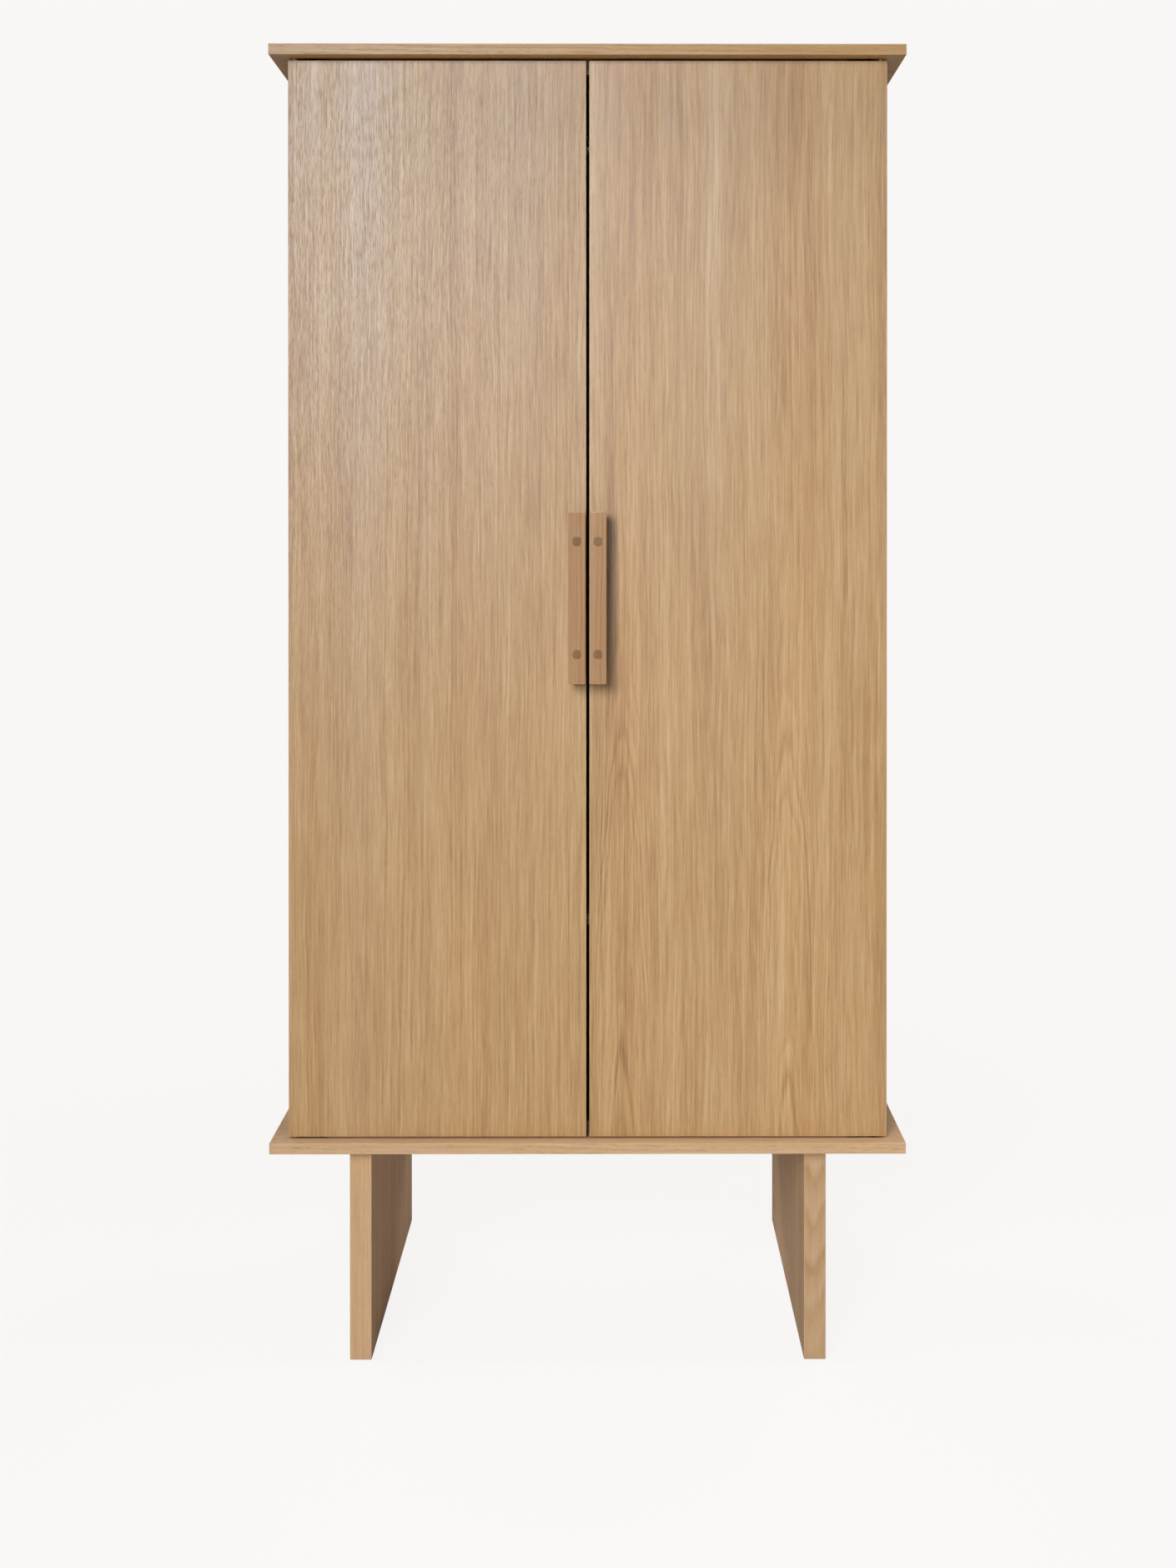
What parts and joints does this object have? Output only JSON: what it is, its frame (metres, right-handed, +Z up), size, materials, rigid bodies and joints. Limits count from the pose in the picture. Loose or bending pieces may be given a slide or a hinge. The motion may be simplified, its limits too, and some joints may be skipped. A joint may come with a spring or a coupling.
{
  "type": "wardrobe",
  "caption": "Tall oak wardrobe with full-overlay doors on knife hinges, overhanging top and bottom boards, slab legs, bar handles on through dowels, a shelf and a hanging rail",
  "frame": {"origin": "on the floor, under the middle of the whole wardrobe, handles included", "axes": "+Z up, the doors face -Y, +X to the right as seen from the front"},
  "size_m": [0.93, 0.568, 1.935],
  "materials": {
    "oak_veneer": "oak veneer, satin clear lacquer",
    "solid_oak": "solid oak, satin clear lacquer",
    "oak_end_grain": "oak end grain, oiled",
    "beech_dowel": "raw fluted beech",
    "zinc_fitting": "zinc plated",
    "steel": "nickel plated",
    "brushed_rail": "brushed",
    "catch_plastic": "moulded nylon",
    "hinge_brass": "satin brass"
  },
  "bodies": {
    "cabinet": {"top_board": "oak_veneer", "bottom_board": "oak_veneer", "left_side_panel": "oak_veneer", "right_side_panel": "oak_veneer", "back_panel": "oak_veneer", "fixing_rail": "oak_veneer", "shelf": "oak_veneer", "shelf_pins": "steel", "hanging_rail": "brushed_rail", "left_rail_socket": "brushed_rail", "right_rail_socket": "brushed_rail", "rail_socket_screws": "brushed_rail", "left_leg": "solid_oak", "right_leg": "solid_oak", "leg_bolts": "zinc_fitting", "leg_inserts": "zinc_fitting", "leg_dowels": "beech_dowel", "leg_glides": "catch_plastic", "carcass_dowels": "beech_dowel", "cam_bolts": "zinc_fitting", "cam_locks": "zinc_fitting", "top_catch": "catch_plastic", "bottom_catch": "catch_plastic", "catch_magnets": "steel", "catch_screws": "steel", "hinge_board_screws": "hinge_brass", "left_top_hinge_board_leaf": "hinge_brass", "left_top_hinge_pin": "hinge_brass", "left_top_hinge_washer": "hinge_brass", "left_bottom_hinge_board_leaf": "hinge_brass", "left_bottom_hinge_pin": "hinge_brass", "left_bottom_hinge_washer": "hinge_brass", "right_top_hinge_board_leaf": "hinge_brass", "right_top_hinge_pin": "hinge_brass", "right_top_hinge_washer": "hinge_brass", "right_bottom_hinge_board_leaf": "hinge_brass", "right_bottom_hinge_pin": "hinge_brass", "right_bottom_hinge_washer": "hinge_brass"},
    "left_door": {"left_door": "oak_veneer", "left_handle_bar": "solid_oak", "left_handle_dowels": "oak_end_grain", "left_handle_screws": "steel", "left_strike_plates": "steel", "left_door_screws": "hinge_brass", "left_top_hinge_door_leaf": "hinge_brass", "left_bottom_hinge_door_leaf": "hinge_brass"},
    "right_door": {"right_door": "oak_veneer", "right_handle_bar": "solid_oak", "right_handle_dowels": "oak_end_grain", "right_handle_screws": "steel", "right_strike_plates": "steel", "right_door_screws": "hinge_brass", "right_top_hinge_door_leaf": "hinge_brass", "right_bottom_hinge_door_leaf": "hinge_brass"}
  },
  "joints": [
    {"name": "left_door_swing", "type": "hinge", "parent": "cabinet", "child": "left_door", "pos_m": [-0.432, -0.237, 1.125], "axis": [0, 0, -1], "range_deg": [0, 110]},
    {"name": "right_door_swing", "type": "hinge", "parent": "cabinet", "child": "right_door", "pos_m": [0.432, -0.237, 1.125], "axis": [0, 0, 1], "range_deg": [0, 110]}
  ]
}
